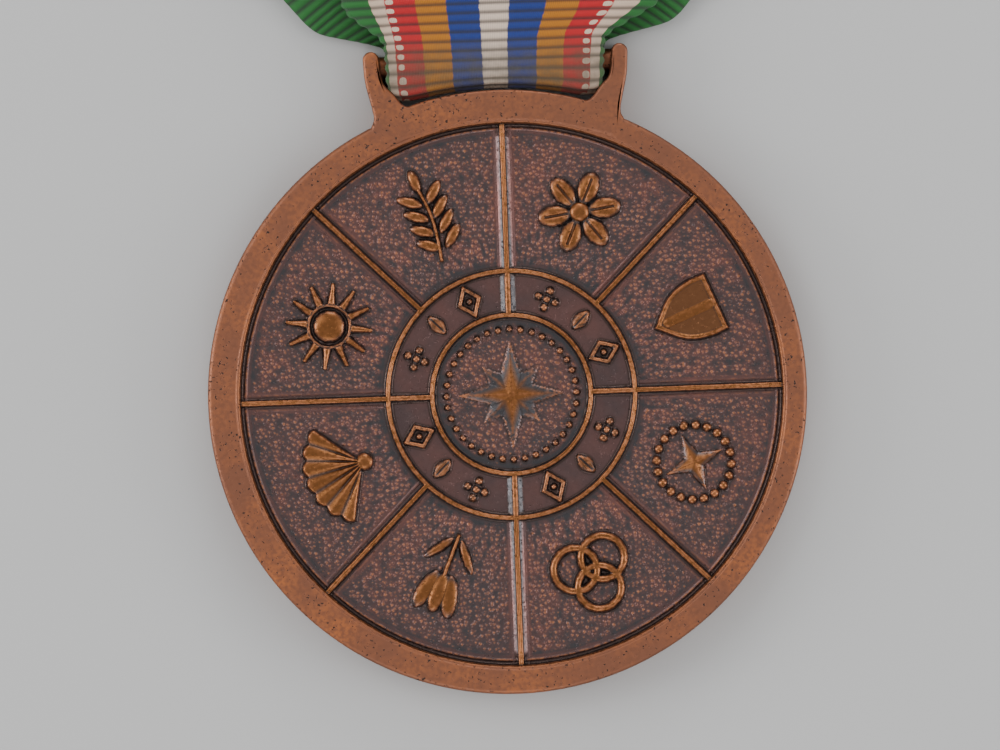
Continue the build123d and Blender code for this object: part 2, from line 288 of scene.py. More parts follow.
def bronze_material():
    """Tarnish to rubbed brass by height, brighter on crests, darker in hollows, copper on the rim."""
    material, tree, shader = start_material("struck_bronze", 0.88, 0.40)
    spots = place_group(tree, mottle, Coarse=300.0, Fine=3400.0)
    holes = place_group(tree, pits, Scale=5200.0, Cover=0.76)["Mask"]
    warm = math_node(tree, "MULTIPLY", range_node(tree, attribute(tree, "punched"), 0.05, 0.45),
                     range_node(tree, spots["Amount"], 0.0, 1.0, 0.45, 1.0))
    field = mix_colour(tree, warm, tarnish, tarnish_warm)
    raised = range_node(tree, attribute(tree, "relief"), 0.55, 0.92)
    struck = mix_colour(tree, raised, field, rubbed)
    crest = math_node(tree, "MULTIPLY", attribute(tree, "crest"), spots["Grain"])
    struck = mix_colour(tree, range_node(tree, crest, 0.05, 0.75, 0.0, 0.8), struck, bright)
    hollow = range_node(tree, attribute(tree, "hollow"), 0.15, 1.0, 0.0, 0.85)
    struck = mix_colour(tree, hollow, struck, pit_dark)
    plain = mix_colour(tree, spots["Amount"], copper_dull, copper)
    plain = mix_colour(tree, range_node(tree, spots["Grain"], 0.1, 0.8, 0.8, 0.0), plain, copper_dull)
    broad = range_node(tree, noise_node(tree, 130.0, 2.0), 0.38, 0.62, 0.0, 0.65)
    plain = mix_colour(tree, broad, plain, copper_dull)
    plain = mix_colour(tree, holes, plain, pit_dark)
    rim = attribute(tree, "rim")
    tree.links.new(mix_colour(tree, rim, struck, plain), shader.inputs["Base Color"])
    rough = range_node(tree, spots["Grain"], 0.0, 1.0, 0.26, 0.42)
    rough = math_node(tree, "ADD", rough, math_node(tree, "MULTIPLY", rim, 0.16))
    tree.links.new(math_node(tree, "ADD", rough, math_node(tree, "MULTIPLY", holes, 0.2)),
                   shader.inputs["Roughness"])
    grain = math_node(tree, "SUBTRACT", math_node(tree, "MULTIPLY", spots["Grain"], 0.35), holes)
    tree.links.new(bump_node(tree, grain, 0.03, 0.8), shader.inputs["Normal"])
    return material


bronze = bronze_material()
print("bronze ready")

# %% [markdown]
# ## From arrays to meshes
# Every new piece is a grid of points worked out with numpy. Where the grid closes on itself it has no seam,
# and where it doesn't a flat cap closes it. The enclosed volume tells which way the faces look: if it comes
# out negative, all of them are turned round.

# %% Mesh helpers
def grid_quads(rows, columns, wrap_rows=False, wrap_columns=False):
    """Quads between neighbouring points of a rows by columns grid, joined end to end where asked."""
    index = np.arange(rows * columns).reshape(rows, columns)
    if wrap_rows:
        index = np.vstack([index, index[:1]])
    if wrap_columns:
        index = np.hstack([index, index[:, :1]])
    corners = (index[:-1, :-1], index[:-1, 1:], index[1:, 1:], index[1:, :-1])
    return np.stack(corners, -1).reshape(-1, 4)


def volume_of(points, faces):
    """Enclosed volume: the sum, over triangles fanned from each face's first corner, of a.(b x c) / 6."""
    total = 0.0
    for group in faces:
        corner = points[group]
        for k in range(1, corner.shape[1] - 1):
            crossed = np.cross(corner[:, k], corner[:, k + 1])
            total += np.einsum("ij,ij->", corner[:, 0], crossed) / 6
    return total


def make_piece(name, points, quads, caps=(), flat=None, marks=None, material=None):
    """A closed mesh object from points (mm), quads and cap loops; flat says which quads are flat-shaded."""
    points = np.asarray(points, float).reshape(-1, 3)
    if not np.isfinite(points).all():
        raise ValueError(f"{name} has points that aren't numbers")
    groups = [np.asarray(quads)] + [np.asarray(cap)[None, :] for cap in caps]
    if volume_of(points - points.mean(0), groups) < 0:
        groups = [group[:, ::-1] for group in groups]
    mesh = bpy.data.meshes.new(name)
    mesh.from_pydata((points * mm).tolist(), [], [face for group in groups for face in group.tolist()])
    smooth = np.ones(len(mesh.polygons), bool)
    smooth[len(quads):] = False
    if flat is not None:
        smooth[:len(quads)] &= ~flat
    mesh.polygons.foreach_set("use_smooth", smooth)
    for label, values in (marks or {}).items():
        layer = mesh.attributes.new(label, "FLOAT", "POINT")
        layer.data.foreach_set("value", np.asarray(values, np.float32).ravel())
    if material:
        mesh.materials.append(material)
    mesh.update()
    piece = in_scene(name, mesh)
    print(f"{name}: {sum(len(p.vertices) - 2 for p in mesh.polygons)} triangles")
    return piece


# %% [markdown]
# ## Drawing relief with distances
# A die cutter sinks each ornament as an outline with a rounded or bevelled edge. A distance does the same:
# how far a point is from a line gives a ridge, and how deep it is inside an outline gives a pad or a dome.
# The highest of them wins, as it does where two shapes are cut into one die.

# %% Distances
def curve(points, steps=6):
    """A Catmull-Rom curve through the points: on each span, the cubic that leaves and meets them smoothly."""
    p = np.asarray(points, float)
    p = np.vstack([2 * p[0] - p[1], p, 2 * p[-1] - p[-2]])
    t = np.linspace(0, 1, steps, endpoint=False)[:, None]
    spans = [0.5 * (2 * b + (c - a) * t + (2 * a - 5 * b + 4 * c - d) * t**2 + (3 * b - a - 3 * c + d) * t**3)
             for a, b, c, d in zip(p[:-3], p[1:-2], p[2:-1], p[3:])]
    return np.vstack(spans + [p[-2:-1]])


def to_line(x, y, points):
    """Distance to a chain of straight runs: the least of the distances to its runs."""
    best = np.full(x.shape, np.inf)
    for (ax, ay), (bx, by) in zip(points[:-1], points[1:]):
        run_x, run_y = bx - ax, by - ay
        along = np.clip(((x - ax) * run_x + (y - ay) * run_y) / (run_x**2 + run_y**2), 0, 1)
        best = np.minimum(best, np.hypot(x - ax - along * run_x, y - ay - along * run_y))
    return best


def depth_inside(x, y, points):
    """How deep a point is inside a closed outline, negative outside, by the even-odd rule."""
    loop = np.vstack([points, points[:1]])
    odd = np.zeros(x.shape, bool)
    for (ax, ay), (bx, by) in zip(loop[:-1], loop[1:]):
        if ay != by:
            crosses = (ay > y) != (by > y)
            odd ^= crosses & (x < ax + (y - ay) * (bx - ax) / (by - ay))
    distance = to_line(x, y, loop)
    return np.where(odd, distance, -distance)


def ease(t):
    """3t^2 - 2t^3, held at 0 and 1."""
    t = np.clip(t, 0, 1)
    return t * t * (3 - 2 * t)


def ridge(distance, half, height):
    """A rounded ridge: height times (1 - (distance / half)^2)^0.7."""
    return height * np.clip(1 - (distance / half)**2, 0, 1)**0.7


def pad(depth, height, bevel):
    """A flat-topped pad with an eased edge as wide as bevel."""
    return height * ease(depth / bevel)


def dome(depth, height, reach):
    """A pad that rounds up over reach: height times sqrt(1 - (1 - depth / reach)^2)."""
    return height * np.sqrt(np.clip(1 - (1 - np.clip(depth / reach, 0, 1))**2, 0, 1))


def bar(x, y, start, end, half, height):
    """A rounded ridge along one straight run."""
    return ridge(to_line(x, y, (start, end)), half, height)


def oval(x, y, centre, half_x, half_y, turn=0.0):
    """Depth inside an ellipse, about: (1 - its scaled radius) times the smaller half."""
    u = (x - centre[0]) * math.cos(turn) + (y - centre[1]) * math.sin(turn)
    v = (y - centre[1]) * math.cos(turn) - (x - centre[0]) * math.sin(turn)
    return (1 - np.hypot(u / half_x, v / half_y)) * min(half_x, half_y)


def off_spoke(angle, count):
    """The angle to the nearest of count evenly spaced spokes, of which one is at angle 0."""
    half = math.pi / count
    return np.abs(np.mod(angle + half, 2 * half) - half)


def highest(*heights):
    """The greatest of several heights."""
    return np.maximum.reduce(heights)


# %% [markdown]
# ## Eight plain ornaments
# Each eighth of the wheel carries one ornament of an ordinary kind: a shield, a flower, a sprig, a sun, a
# shell, a tulip, linked rings and a ringed star. They are made for this model and stand for nothing. Each
# is drawn in the frame of its own eighth, with u across and v outward from the eighth's middle, and what
# repeats in it is placed by a loop. Heights stay under the rim, so that the rim takes the wear when the
# medal lies face down.

# %% Eight ornaments
ornament_radius = 13.0


def in_eighth(x, y, number):
    """Across and outward distances from an eighth's middle: the point turned by the eighth's mid-angle."""
    angle = math.radians(45 * number + 22.5)
    return (x * math.sin(angle) - y * math.cos(angle),
            x * math.cos(angle) + y * math.sin(angle) - ornament_radius)


def around(count, radius, first=0.0):
    """(u, v, angle) for places evenly round a circle."""
    angles = first + 2 * math.pi * np.arange(count) / count
    return [(radius * math.cos(a), radius * math.sin(a), a) for a in angles]


def star_share(u, v, points, tip, notch, turn=0.0):
    """1 - r / edge, for a star whose side runs straight from tip to notch. With a the angle from the tip and
    b from tip to notch, edge is tip notch sin b / (tip sin a + notch sin(b - a))."""
    half = math.pi / points
    a = off_spoke(np.arctan2(v, u) - turn, points)
    edge = tip * notch * math.sin(half) / (tip * np.sin(a) + notch * np.sin(half - a))
    return np.clip(1 - np.hypot(u, v) / edge, 0, 1)


def rosette(u, v):
    """Six round petals with a sunk midline each, and a button in the middle."""
    places = around(6, 1.7, math.pi / 6)
    petals = [dome(oval(u, v, (a, b), 1.15, 0.74, turn), 0.48, 0.6) for a, b, turn in places]
    creases = [bar(u, v, (0.5 * a, 0.5 * b), (1.35 * a, 1.35 * b), 0.12, 0.14) for a, b, _ in places]
    flower = (highest(*petals) - highest(*creases)).clip(0, None)
    return highest(flower, dome(0.72 - np.hypot(u, v), 0.54, 0.5))


def shield(u, v):
    """A plain shield: a flat top, sides that curve to a point, a raised border and a middle bar."""
    side = curve([(2.15, 2.2), (2.15, 0.6), (1.6, -1.0), (0.0, -2.7)])
    depth = depth_inside(u, v, np.vstack([side, side[-2::-1] * (-1, 1)]))
    middle = bar(u, v, (0, 1.5), (0, -1.5), 0.34, 0.14)
    return pad(depth, 0.34, 0.25) + (ridge(np.abs(depth - 0.32), 0.16, 0.12) + middle) * (depth > 0.16)


def slanted_oval(u, v, side, out, up, long_half, wide_half, slant):
    """Depth inside an oval beside the upright, slanted from it by slant degrees; side is -1 or 1."""
    return oval(u, v, (side * out, up), long_half, wide_half, math.radians(90 - side * slant))


def sprig(u, v):
    """A bent stem with four pairs of oval leaves and one at its tip."""
    stem = curve([(-0.5, -2.9), (-0.1, -1.2), (0.1, 0.4), (0.0, 2.0)])
    leaves = [dome(slanted_oval(u, v, side, 0.85, -1.7 + 1.05 * k, 0.95, 0.4, 52), 0.44, 0.36)
              for k in range(4) for side in (-1, 1)]
    tip = dome(oval(u, v, (0, 2.6), 0.4, 0.85), 0.44, 0.36)
    return highest(*leaves, tip, ridge(to_line(u, v, stem), 0.17, 0.42))


def sun(u, v):
    """A domed disc in a ring, with twelve rays that narrow outwards."""
    reach, angle = np.hypot(u, v), np.arctan2(v, u)
    off = reach * np.sin(np.abs(np.mod(angle, math.pi / 6) - math.pi / 12))
    half = np.clip(0.34 - 0.13 * (reach - 1.5), 0.08, 1)
    rays = ridge(off, half, 0.4) * (reach > 1.5) * (reach < 2.9)
    return highest(dome(1.1 - reach, 0.5, 0.8), ridge(np.abs(reach - 1.4), 0.16, 0.3), rays)


def shell(u, v):
    """A fan of seven grooved lobes spreading from a button at its foot."""
    reach, angle = np.hypot(u, v + 2.2), np.arctan2(u, v + 2.2)
    lobe = np.abs(np.cos(angle * 7 * math.pi / math.radians(118)))
    depth = np.minimum(4.3 + 0.25 * (lobe - 1) - reach, (math.radians(59) - np.abs(angle)) * reach)
    fan = pad(depth, 0.26, 0.25) + 0.2 * lobe * ease(depth / 0.3)
    return highest(fan * (reach > 0.3), dome(0.62 - reach, 0.5, 0.5))


def linked_rings(u, v):
    """Three rings that overlap."""
    return highest(*[ridge(np.abs(np.hypot(u - a, v - b) - 1.45), 0.32, 0.44)
                     for a, b, _ in around(3, 1.15, math.pi / 2)])


def tulip(u, v):
    """A cup of three petals on a stem with two leaves."""
    petals = [dome(slanted_oval(u, v, side, 0.82, 1.15, 1.5, 0.62, 14), 0.44, 0.5) for side in (-1, 1)]
    leaves = [dome(slanted_oval(u, v, side, 0.95, -1.75, 1.25, 0.34, 38), 0.4, 0.32) for side in (-1, 1)]
    middle = dome(oval(u, v, (0, 1.1), 0.62, 1.45), 0.52, 0.5)
    return highest(*petals, middle, *leaves, bar(u, v, (0, 0), (0, -2.9), 0.19, 0.42))


def ringed_star(u, v):
    """A four-pointed star, ridged to its tips, in a beaded ring."""
    beads = [dome(0.33 - np.hypot(u - a, v - b), 0.4, 0.33) for a, b, _ in around(20, 2.5)]
    share = star_share(u, v, 4, 2.1, 0.75, math.pi / 4)
    return highest(*beads, 0.12 * (share > 0.02) + 0.42 * share**0.8)


ornaments = (shield, rosette, sprig, sun, shell, tulip, linked_rings, ringed_star)
print(f"{len(ornaments)} ornaments, centred {ornament_radius:.0f} mm out")

# %% [markdown]
# ## The middle and the ornament band
# The boss shows an eight-pointed star in a ring of beads. Round it runs a band that carries twelve small
# ornaments, three to a quarter: a lozenge, a leaf and five dots by turns, evenly spaced, each turned to the
# centre.

# %% Boss star
def boss_star(x, y):
    """Four long points over four short ones, a button in the middle and beads round it."""
    long = star_share(x, y, 4, 3.7, 1.2)
    short = star_share(x, y, 4, 2.7, 1.15, math.pi / 4)
    beads = [dome(0.24 - np.hypot(x - a, y - b), 0.32, 0.24) for a, b, _ in around(36, 4.35)]
    return highest(0.1 * (long > 0.02) + 0.4 * long**0.8, 0.08 * (short > 0.02) + 0.32 * short**0.8,
                   dome(0.5 - np.hypot(x, y), 0.5, 0.4), *beads)


# %% Twelve ornaments
band_middle = 6.78
band_angles = [90 * quarter + 22.5 * step for quarter in range(4) for step in (1, 2, 3)]


def small_ornament(outward, across, kind):
    """kind 0 is a lozenge round a dot, 1 a leaf with a midrib, 2 four dots round a fifth."""
    if kind == 0:
        edge = np.abs(np.abs(outward) / 0.95 + np.abs(across) / 0.7 - 1) * 0.55
        return highest(ridge(edge, 0.19, 0.34), ridge(np.hypot(outward, across), 0.24, 0.3))
    if kind == 1:
        blade = dome(0.5 - np.abs(across) - 0.62 * outward**2, 0.34, 0.36)
        return (blade - ridge(np.abs(across), 0.09, 0.12)).clip(0, None)
    places = [(a, b) for a, b, _ in around(4, 0.58)] + [(0, 0)]
    return highest(*[ridge(np.hypot(outward - a, across - b), 0.31, 0.34) for a, b in places])


def band_ornaments(x, y):
    """Each ornament in its own frame: outward along its radius, across along the band."""
    parts = []
    for number, degrees in enumerate(band_angles):
        angle = math.radians(degrees)
        outward = x * math.cos(angle) + y * math.sin(angle) - band_middle
        across = y * math.cos(angle) - x * math.sin(angle)
        near = (np.abs(outward) < 1.3) & (np.abs(across) < 1.3)
        parts.append(np.where(near, small_ornament(outward, across, number % 3), 0))
    return highest(*parts)


# %% [markdown]
# ## Ground, ribs, rings and the rim's wall
# The ground between the ornaments is stippled with a round punch so that smooth metal stands out. Dots sit
# on a jittered square lattice, and the highest dot of nine cells gives the height. The stipple fades out
# beside the ribs, the rings and the rim, because the engraver keeps the punch off them, and it stops at the
# ornaments.

# %% Wheel sizes
field_z = rim_top - 0.75
strike_offset = 0.27
boss_ring, band_ring = 5.3, 8.25
wall_foot, wall_head = 17.98, 18.2
moulding = 17.76
plate_edge = 18.35
rib_height, rib_top_half, rib_foot_half = 0.4, 0.12, 0.27
far_away = 9.0
dot_pitch, dot_half, dot_height = 0.31, 0.125, 0.068
lattice = 128
random = np.random.default_rng(41)
jitter = random.uniform(-0.38, 0.38, (lattice, lattice, 2))
dot_size = random.uniform(0.6, 1.15, (lattice, lattice))
print(f"field at z {field_z:.2f}, {dot_pitch} mm between dots")


def stipple(x, y):
    """The highest of nine cells' jittered dots, each dot_height times (1 - (distance / half)^2)."""
    column, row = np.floor(x / dot_pitch).astype(int), np.floor(y / dot_pitch).astype(int)
    best = np.zeros(x.shape)
    for step_x in (-1, 0, 1):
        for step_y in (-1, 0, 1):
            i, j = (column + step_x) % lattice, (row + step_y) % lattice
            centre_x = (column + step_x + 0.5 + jitter[i, j, 0]) * dot_pitch
            centre_y = (row + step_y + 0.5 + jitter[i, j, 1]) * dot_pitch
            spread = np.hypot(x - centre_x, y - centre_y) / (dot_half * dot_size[i, j])
            best = np.maximum(best, dot_height * dot_size[i, j] * np.clip(1 - spread**2, 0, 1))
    return best


def ramp_ridge(distance, top_half, foot_half, height):
    """A ridge with a flat top and straight sides."""
    return height * np.clip((foot_half - distance) / (foot_half - top_half), 0, 1)


def wheel(x, y):
    """Four ribs across the band and eight outside it, which have fillets; two rings, a low moulding and the
    rim's wall. The upright ribs have broad bevels too, which come to a point at the wall. Returns what
    stands on the ground, and the wall."""
    radius, angle = np.hypot(x, y), np.arctan2(y, x)
    outside = radius > band_ring
    from_rib = np.where(outside, radius * np.sin(off_spoke(angle, 8)), far_away)
    in_band = (radius > boss_ring) & (radius <= band_ring)
    from_rib = np.where(in_band, radius * np.sin(off_spoke(angle, 4)), from_rib)
    ribs = ramp_ridge(from_rib, rib_top_half, rib_foot_half, rib_height)
    point = np.clip((wall_foot + 0.1 - radius) / 0.9, 0, 1)
    bevel = ramp_ridge(np.abs(x), 0.1, 0.1 + 0.42 * point + 1e-3, 0.3) * (radius > boss_ring)
    fillet = ridge(np.abs(from_rib - rib_foot_half - 0.22), 0.1, 0.035) * outside
    rings = [ramp_ridge(np.abs(radius - ring), 0.11, 0.25, rib_height) for ring in (boss_ring, band_ring)]
    low = ridge(np.abs(radius - moulding), 0.1, 0.07)
    wall = (rim_top - field_z) * ease((radius - wall_foot) / (wall_head - wall_foot))
    return highest(ribs, bevel, fillet, *rings, low), wall


def face_height(x, y, drawn, margin=0.5, stippled=True, in_boss=False):
    """Everything raised, then the stipple on bare ground. It fades out over the margin beside ribs, rings and
    wall; in the boss there are no ribs."""
    ribs, wall = wheel(x, y)
    solid = highest(ribs, wall, drawn)
    if not stippled:
        return solid
    radius, angle = np.hypot(x, y), np.arctan2(y, x)
    clear = np.minimum(far_away if in_boss else radius * np.sin(off_spoke(angle, 8)), wall_foot - radius)
    for ring in (band_ring, boss_ring):
        clear = np.minimum(clear, np.abs(radius - ring))
    open_ground = ease((clear - margin) / 0.35) * (solid < 0.02)
    return solid + stipple(x, y) * open_ground


# %% Wear numbers
def spread_out(values, half):
    """The mean over a square of neighbours, by running sums, with the edges repeated."""
    for axis in (0, 1):
        padding = [(half + 1, half) if k == axis else (0, 0) for k in (0, 1)]
        sums = np.cumsum(np.pad(values, padding, mode="edge"), axis)
        values = (np.take(sums, range(2 * half + 1, sums.shape[axis]), axis)
                  - np.take(sums, range(0, sums.shape[axis] - 2 * half - 1), axis)) / (2 * half + 1)
    return values


def punched_ground(height):
    """Where the stipple is, spread out: it holds a warmer tarnish than the smooth margins."""
    return spread_out(((height > 0.008) & (height < 0.07)).astype(float), 4)


def wear_numbers(height, rim, punched):
    """relief is height over the ribs' height. crest and hollow say how far a point stands above or below the
    mean of its neighbours. rim and punched are given."""
    difference = height - spread_out(height, 3)
    return {"relief": np.clip(height / rib_height, 0, 1), "crest": np.clip(difference / 0.05, 0, 1),
            "hollow": np.clip(-difference / 0.07, 0, 1), "rim": np.broadcast_to(rim, height.shape),
            "punched": np.broadcast_to(punched, height.shape)}


plain_metal = {"relief": 1.0, "crest": 0.0, "hollow": 0.0, "rim": 1.0, "punched": 0.0}


# %% [markdown]
# ## The struck face in plates
# The face would be one mesh of over a third of a million points, too heavy for one piece, so it is cut
# along the crests of the ribs and rings, where a cut can't be seen. Each plate is a closed slab: a polar
# grid on top, and two rows below it that join its edges.

# %% Eighths of the wheel
slab_bottom = 1.3


def close_slab(x, y, top, extra):
    """Adds two bottom rows to a top grid: the last row and the first, both at slab_bottom."""
    flat_x, flat_y = np.vstack([x, x[-1:], x[:1]]), np.vstack([y, y[-1:], y[:1]])
    z = np.vstack([top, np.full((2, top.shape[1]), slab_bottom)])
    marks = {k: np.vstack([v, v[-1:], v[:1]]) for k, v in extra.items()}
    return np.stack([flat_x + strike_offset, flat_y + disc_y, z], -1), marks


def struck(piece):
    """Puts a bronze piece on the pendant, and hides the frame's disc."""
    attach(piece, "pendant")
    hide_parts("medal_disc")
    return piece


plate_rows, plate_columns = 168, 232


def eighth(number, ornament):
    """Radius from the band ring to the rim's flat, angle over one eighth from 45 degrees times number."""
    radius, angle = np.meshgrid(np.linspace(band_ring, plate_edge, plate_rows),
                                np.radians(45 * number + np.linspace(0, 45, plate_columns)), indexing="ij")
    x, y = radius * np.cos(angle), radius * np.sin(angle)
    height = face_height(x, y, ornament(*in_eighth(x, y, number)))
    marks = wear_numbers(height, ease((radius - wall_head + 0.06) / 0.1), punched_ground(height))
    points, marks = close_slab(x, y, field_z + height, marks)
    rows = points.shape[0]
    quads = grid_quads(rows, plate_columns, wrap_rows=True)
    flat = np.repeat(np.arange(rows) >= plate_rows - 1, plate_columns - 1)
    first_column = np.arange(rows) * plate_columns
    ends = [first_column, (first_column + plate_columns - 1)[::-1]]
    return struck(make_piece(f"face_{ornament.__name__}", points, quads, ends, flat, marks, bronze))


for number, ornament in enumerate(ornaments):
    eighth(number, ornament)

# %% Ornament band
band_rows, band_columns = 46, 620
radius, angle = np.meshgrid(np.linspace(boss_ring, band_ring, band_rows),
                            np.linspace(0, 2 * math.pi, band_columns, endpoint=False), indexing="ij")
band_x, band_y = radius * np.cos(angle), radius * np.sin(angle)
band_height = face_height(band_x, band_y, band_ornaments(band_x, band_y), stippled=False)
band_marks = wear_numbers(band_height, 0.0, 0.35 * (band_height < 0.01))
band_points, band_marks = close_slab(band_x, band_y, field_z + band_height, band_marks)
band_flat = np.repeat(np.arange(band_rows + 2) >= band_rows - 1, band_columns)
struck(make_piece("face_band", band_points, grid_quads(band_rows + 2, band_columns, True, True),
                  (), band_flat, band_marks, bronze))

# %% [markdown]
# The boss is a full disc. A polar grid would crowd its points at the middle, so a square grid is bent into
# a disc instead: x = u sqrt(1 - v^2 / 2) and y = v sqrt(1 - u^2 / 2), which keeps the points evenly spread.

# %% Full discs
def disc_grid(radius, count):
    """The bent square grid's x and y, its quads, and the indices round its edge."""
    u, v = np.meshgrid(*[np.linspace(-1, 1, count)] * 2, indexing="ij")
    x, y = radius * u * np.sqrt(1 - v**2 / 2), radius * v * np.sqrt(1 - u**2 / 2)
    index = np.arange(count**2).reshape(count, count)
    edge = np.concatenate([index[0, :-1], index[:-1, -1], index[-1, :0:-1], index[:0:-1, 0]])
    return x, y, grid_quads(count, count), edge


def disc_piece(name, x, y, z, quads, edge, foot_z, centre_x, marks):
    """A full disc with a skirt down to foot_z and a flat cap there."""
    face = np.stack([x + centre_x, y + disc_y, z], -1).reshape(-1, 3)
    foot = len(face) + np.arange(len(edge))
    skirt = np.stack([edge, foot, np.roll(foot, -1), np.roll(edge, -1)], -1)
    points = np.vstack([face, face[edge] * (1, 1, 0) + (0, 0, foot_z)])
    marks = {k: np.concatenate([m.ravel(), m.ravel()[edge]]) for k, m in marks.items()}
    faces = np.vstack([quads[:, ::-1], skirt[:, ::-1]])
    flat = np.arange(len(faces)) >= len(quads)
    return struck(make_piece(name, points, faces, [foot], flat, marks, bronze))


# %% Boss
boss_x, boss_y, boss_quads, boss_edge = disc_grid(boss_ring, 170)
boss_height = face_height(boss_x, boss_y, boss_star(boss_x, boss_y), 0.45, in_boss=True)
boss_marks = wear_numbers(boss_height, 0.0, punched_ground(boss_height))
disc_piece("face_boss", boss_x, boss_y, field_z + boss_height, boss_quads, boss_edge, slab_bottom,
           strike_offset, boss_marks)

# %% [markdown]
# ## Rim, neck and ears
# The rim is a flat ring with a rounded edge. At the top it swells into a neck, and two ears stand up from
# it to hold the crossbar. Rim and ears are one outline, so they are made as one sheet: straight rulings run
# from an inner circle out to the outline, over the rounded edge, and back underneath to the middle of the
# reverse.

# %% Outline of rim and ears
slot_low_half, slot_high_half, ear_width = 5.8, 7.75, 1.1
neck_radius, neck_half = 20.35, 7.9
bar_rise = bar_y - disc_y


def ear_outline():
    """The right ear from the rim to the neck: shoulder, outer edge, round cap, inner edge, slot corner.
    Returns its points, and the angles on the inner circle from which its rulings start."""
    cap_x, half = slot_high_half + ear_width / 2, ear_width / 2
    turn = np.radians(np.linspace(0, 180, 13))[:, None]
    cap = np.array([cap_x, bar_rise + half]) + half * np.hstack([np.cos(turn), np.sin(turn)])
    root = (neck_half, math.sqrt(disc_radius**2 - neck_half**2))
    foot = (slot_low_half, math.sqrt(neck_radius**2 - slot_low_half**2))
    outer = curve([(neck_half + 0.55, root[1] - 0.27), (neck_half + 0.35, root[1] + 0.5),
                   (slot_high_half + ear_width - 0.12, bar_rise - 1.0), tuple(cap[0])], 12)
    inner = curve([tuple(cap[-1]), (slot_high_half - 0.2, bar_rise - 0.9),
                   (slot_low_half + 1.15, foot[1] + 0.9), (slot_low_half + 0.65, foot[1] + 0.25),
                   (slot_low_half + 0.2, foot[1] - 0.05), (slot_low_half - 0.3, foot[1] + 0.08)], 8)
    first, last = (math.degrees(math.atan2(p[1], p[0])) for p in (outer[0], inner[-1]))
    steps = np.cumsum(np.hypot(*np.diff(inner, axis=0).T))
    angles = np.concatenate([first + np.linspace(0, 1.3, len(outer) - 1, endpoint=False),
                             first + np.linspace(1.3, 2.4, len(cap)),
                             first + 2.4 + (last - first - 2.4) * steps / steps[-1]])
    return np.vstack([outer[:-1], cap, inner[1:]]), np.radians(angles)


# A ruling that pointed straight at the centre would cross the open slot below the ear's overhanging cap, so
# the ear's rulings start elsewhere on the inner circle, at the angles that come with its outline.
ear, ear_angles = ear_outline()
start, stop = (math.atan2(p[1], p[0]) for p in (ear[0], ear[-1]))
round_angles = np.linspace(math.pi - start, 2 * math.pi + start, 640)[1:-1]
neck_angles = np.linspace(stop, math.pi - stop, 60)[1:-1]
circle = np.stack([np.cos(round_angles), np.sin(round_angles)], -1) * disc_radius
neck = np.stack([np.cos(neck_angles), np.sin(neck_angles)], -1) * neck_radius
outline = np.vstack([circle, ear, neck, (ear * (-1, 1))[::-1]])
ear_share = np.concatenate([np.zeros(len(circle)), np.ones(len(ear) + len(neck) + len(ear))])
for _ in range(12):
    ear_share = (np.roll(ear_share, 1) + ear_share + np.roll(ear_share, -1)) / 3
columns = len(outline)
tangent = np.roll(outline, -1, 0) - np.roll(outline, 1, 0)
tangent /= np.linalg.norm(tangent, axis=1)[:, None]
outward = np.stack([tangent[:, 1], -tangent[:, 0]], -1)
spoke_angle = np.concatenate([round_angles, 2 * math.pi + ear_angles, 2 * math.pi + neck_angles,
                              3 * math.pi - ear_angles[::-1]])
print(f"outline of {columns} points, top {outline[:, 1].max() + disc_y:.2f}")

# %% Rim body
round_front = 0.32 - 0.1 * ear_share
round_back = 0.4 - 0.15 * ear_share
back_rim_width = 2.0
back_field = 0.5
pinhole = 1e-3
inner_back = disc_radius - back_rim_width


def ruled(radius, share, inset, offset=0.0):
    """A ruling's point: share of the way from the inner circle to the outline moved in by inset."""
    inner = radius * np.stack([np.cos(spoke_angle), np.sin(spoke_angle)], -1) + (offset, 0)
    outer = outline - outward * np.asarray(inset)[..., None]
    return inner + (outer - inner) * share


rim_rows, rim_heights = [], []


def add_row(place, z):
    """Keeps one closed row of the rim's surface, at a height that may change round it."""
    rim_rows.append(place)
    rim_heights.append(np.broadcast_to(z, columns))


add_row(ruled(pinhole, 0, 0, strike_offset), slab_bottom - 0.05)
add_row(ruled(plate_edge, 0, 0, strike_offset), slab_bottom - 0.05)
add_row(ruled(plate_edge, 0, 0, strike_offset), rim_top)
for share in np.linspace(0, 1, 12)[1:]:
    add_row(ruled(plate_edge, share, round_front, strike_offset), rim_top)
for turn in np.radians(np.linspace(0, 90, 7)[1:]):
    add_row(ruled(plate_edge, 1, round_front * (1 - math.sin(turn))),
            rim_top - round_front * (1 - math.cos(turn)))
for turn in np.radians(np.linspace(0, 90, 6)):
    add_row(ruled(plate_edge, 1, round_back * (1 - math.cos(turn))), round_back * (1 - math.sin(turn)))
for share in np.linspace(1, 0, 12)[1:]:
    add_row(ruled(inner_back, share, round_back), 0.0)
add_row(ruled(inner_back - 0.4, 0, 0), back_field + 0.05)
add_row(ruled(pinhole, 0, 0), back_field + 0.05)
rim_points = np.dstack([np.stack(rim_rows) + (0, disc_y), np.stack(rim_heights)])
rim_count = len(rim_rows)
rim_flat = np.repeat(np.isin(np.arange(rim_count - 1), (0, 1, rim_count - 3, rim_count - 2)), columns)
rim_marks = {label: np.full(rim_points.shape[:2], value) for label, value in plain_metal.items()}
ends = [np.arange(columns)[::-1], (rim_count - 1) * columns + np.arange(columns)]
struck(make_piece("rim_and_ears", rim_points, grid_quads(rim_count, columns, False, True), ends,
                  rim_flat, rim_marks, bronze))

# %% [markdown]
# ## Crossbar and reverse
# A turned bar joins the ears, and the ribbon is threaded round it. The reverse is plain: a fine flat field
# with an open laurel wreath of my own drawing, because the struck face is the only one that is known.

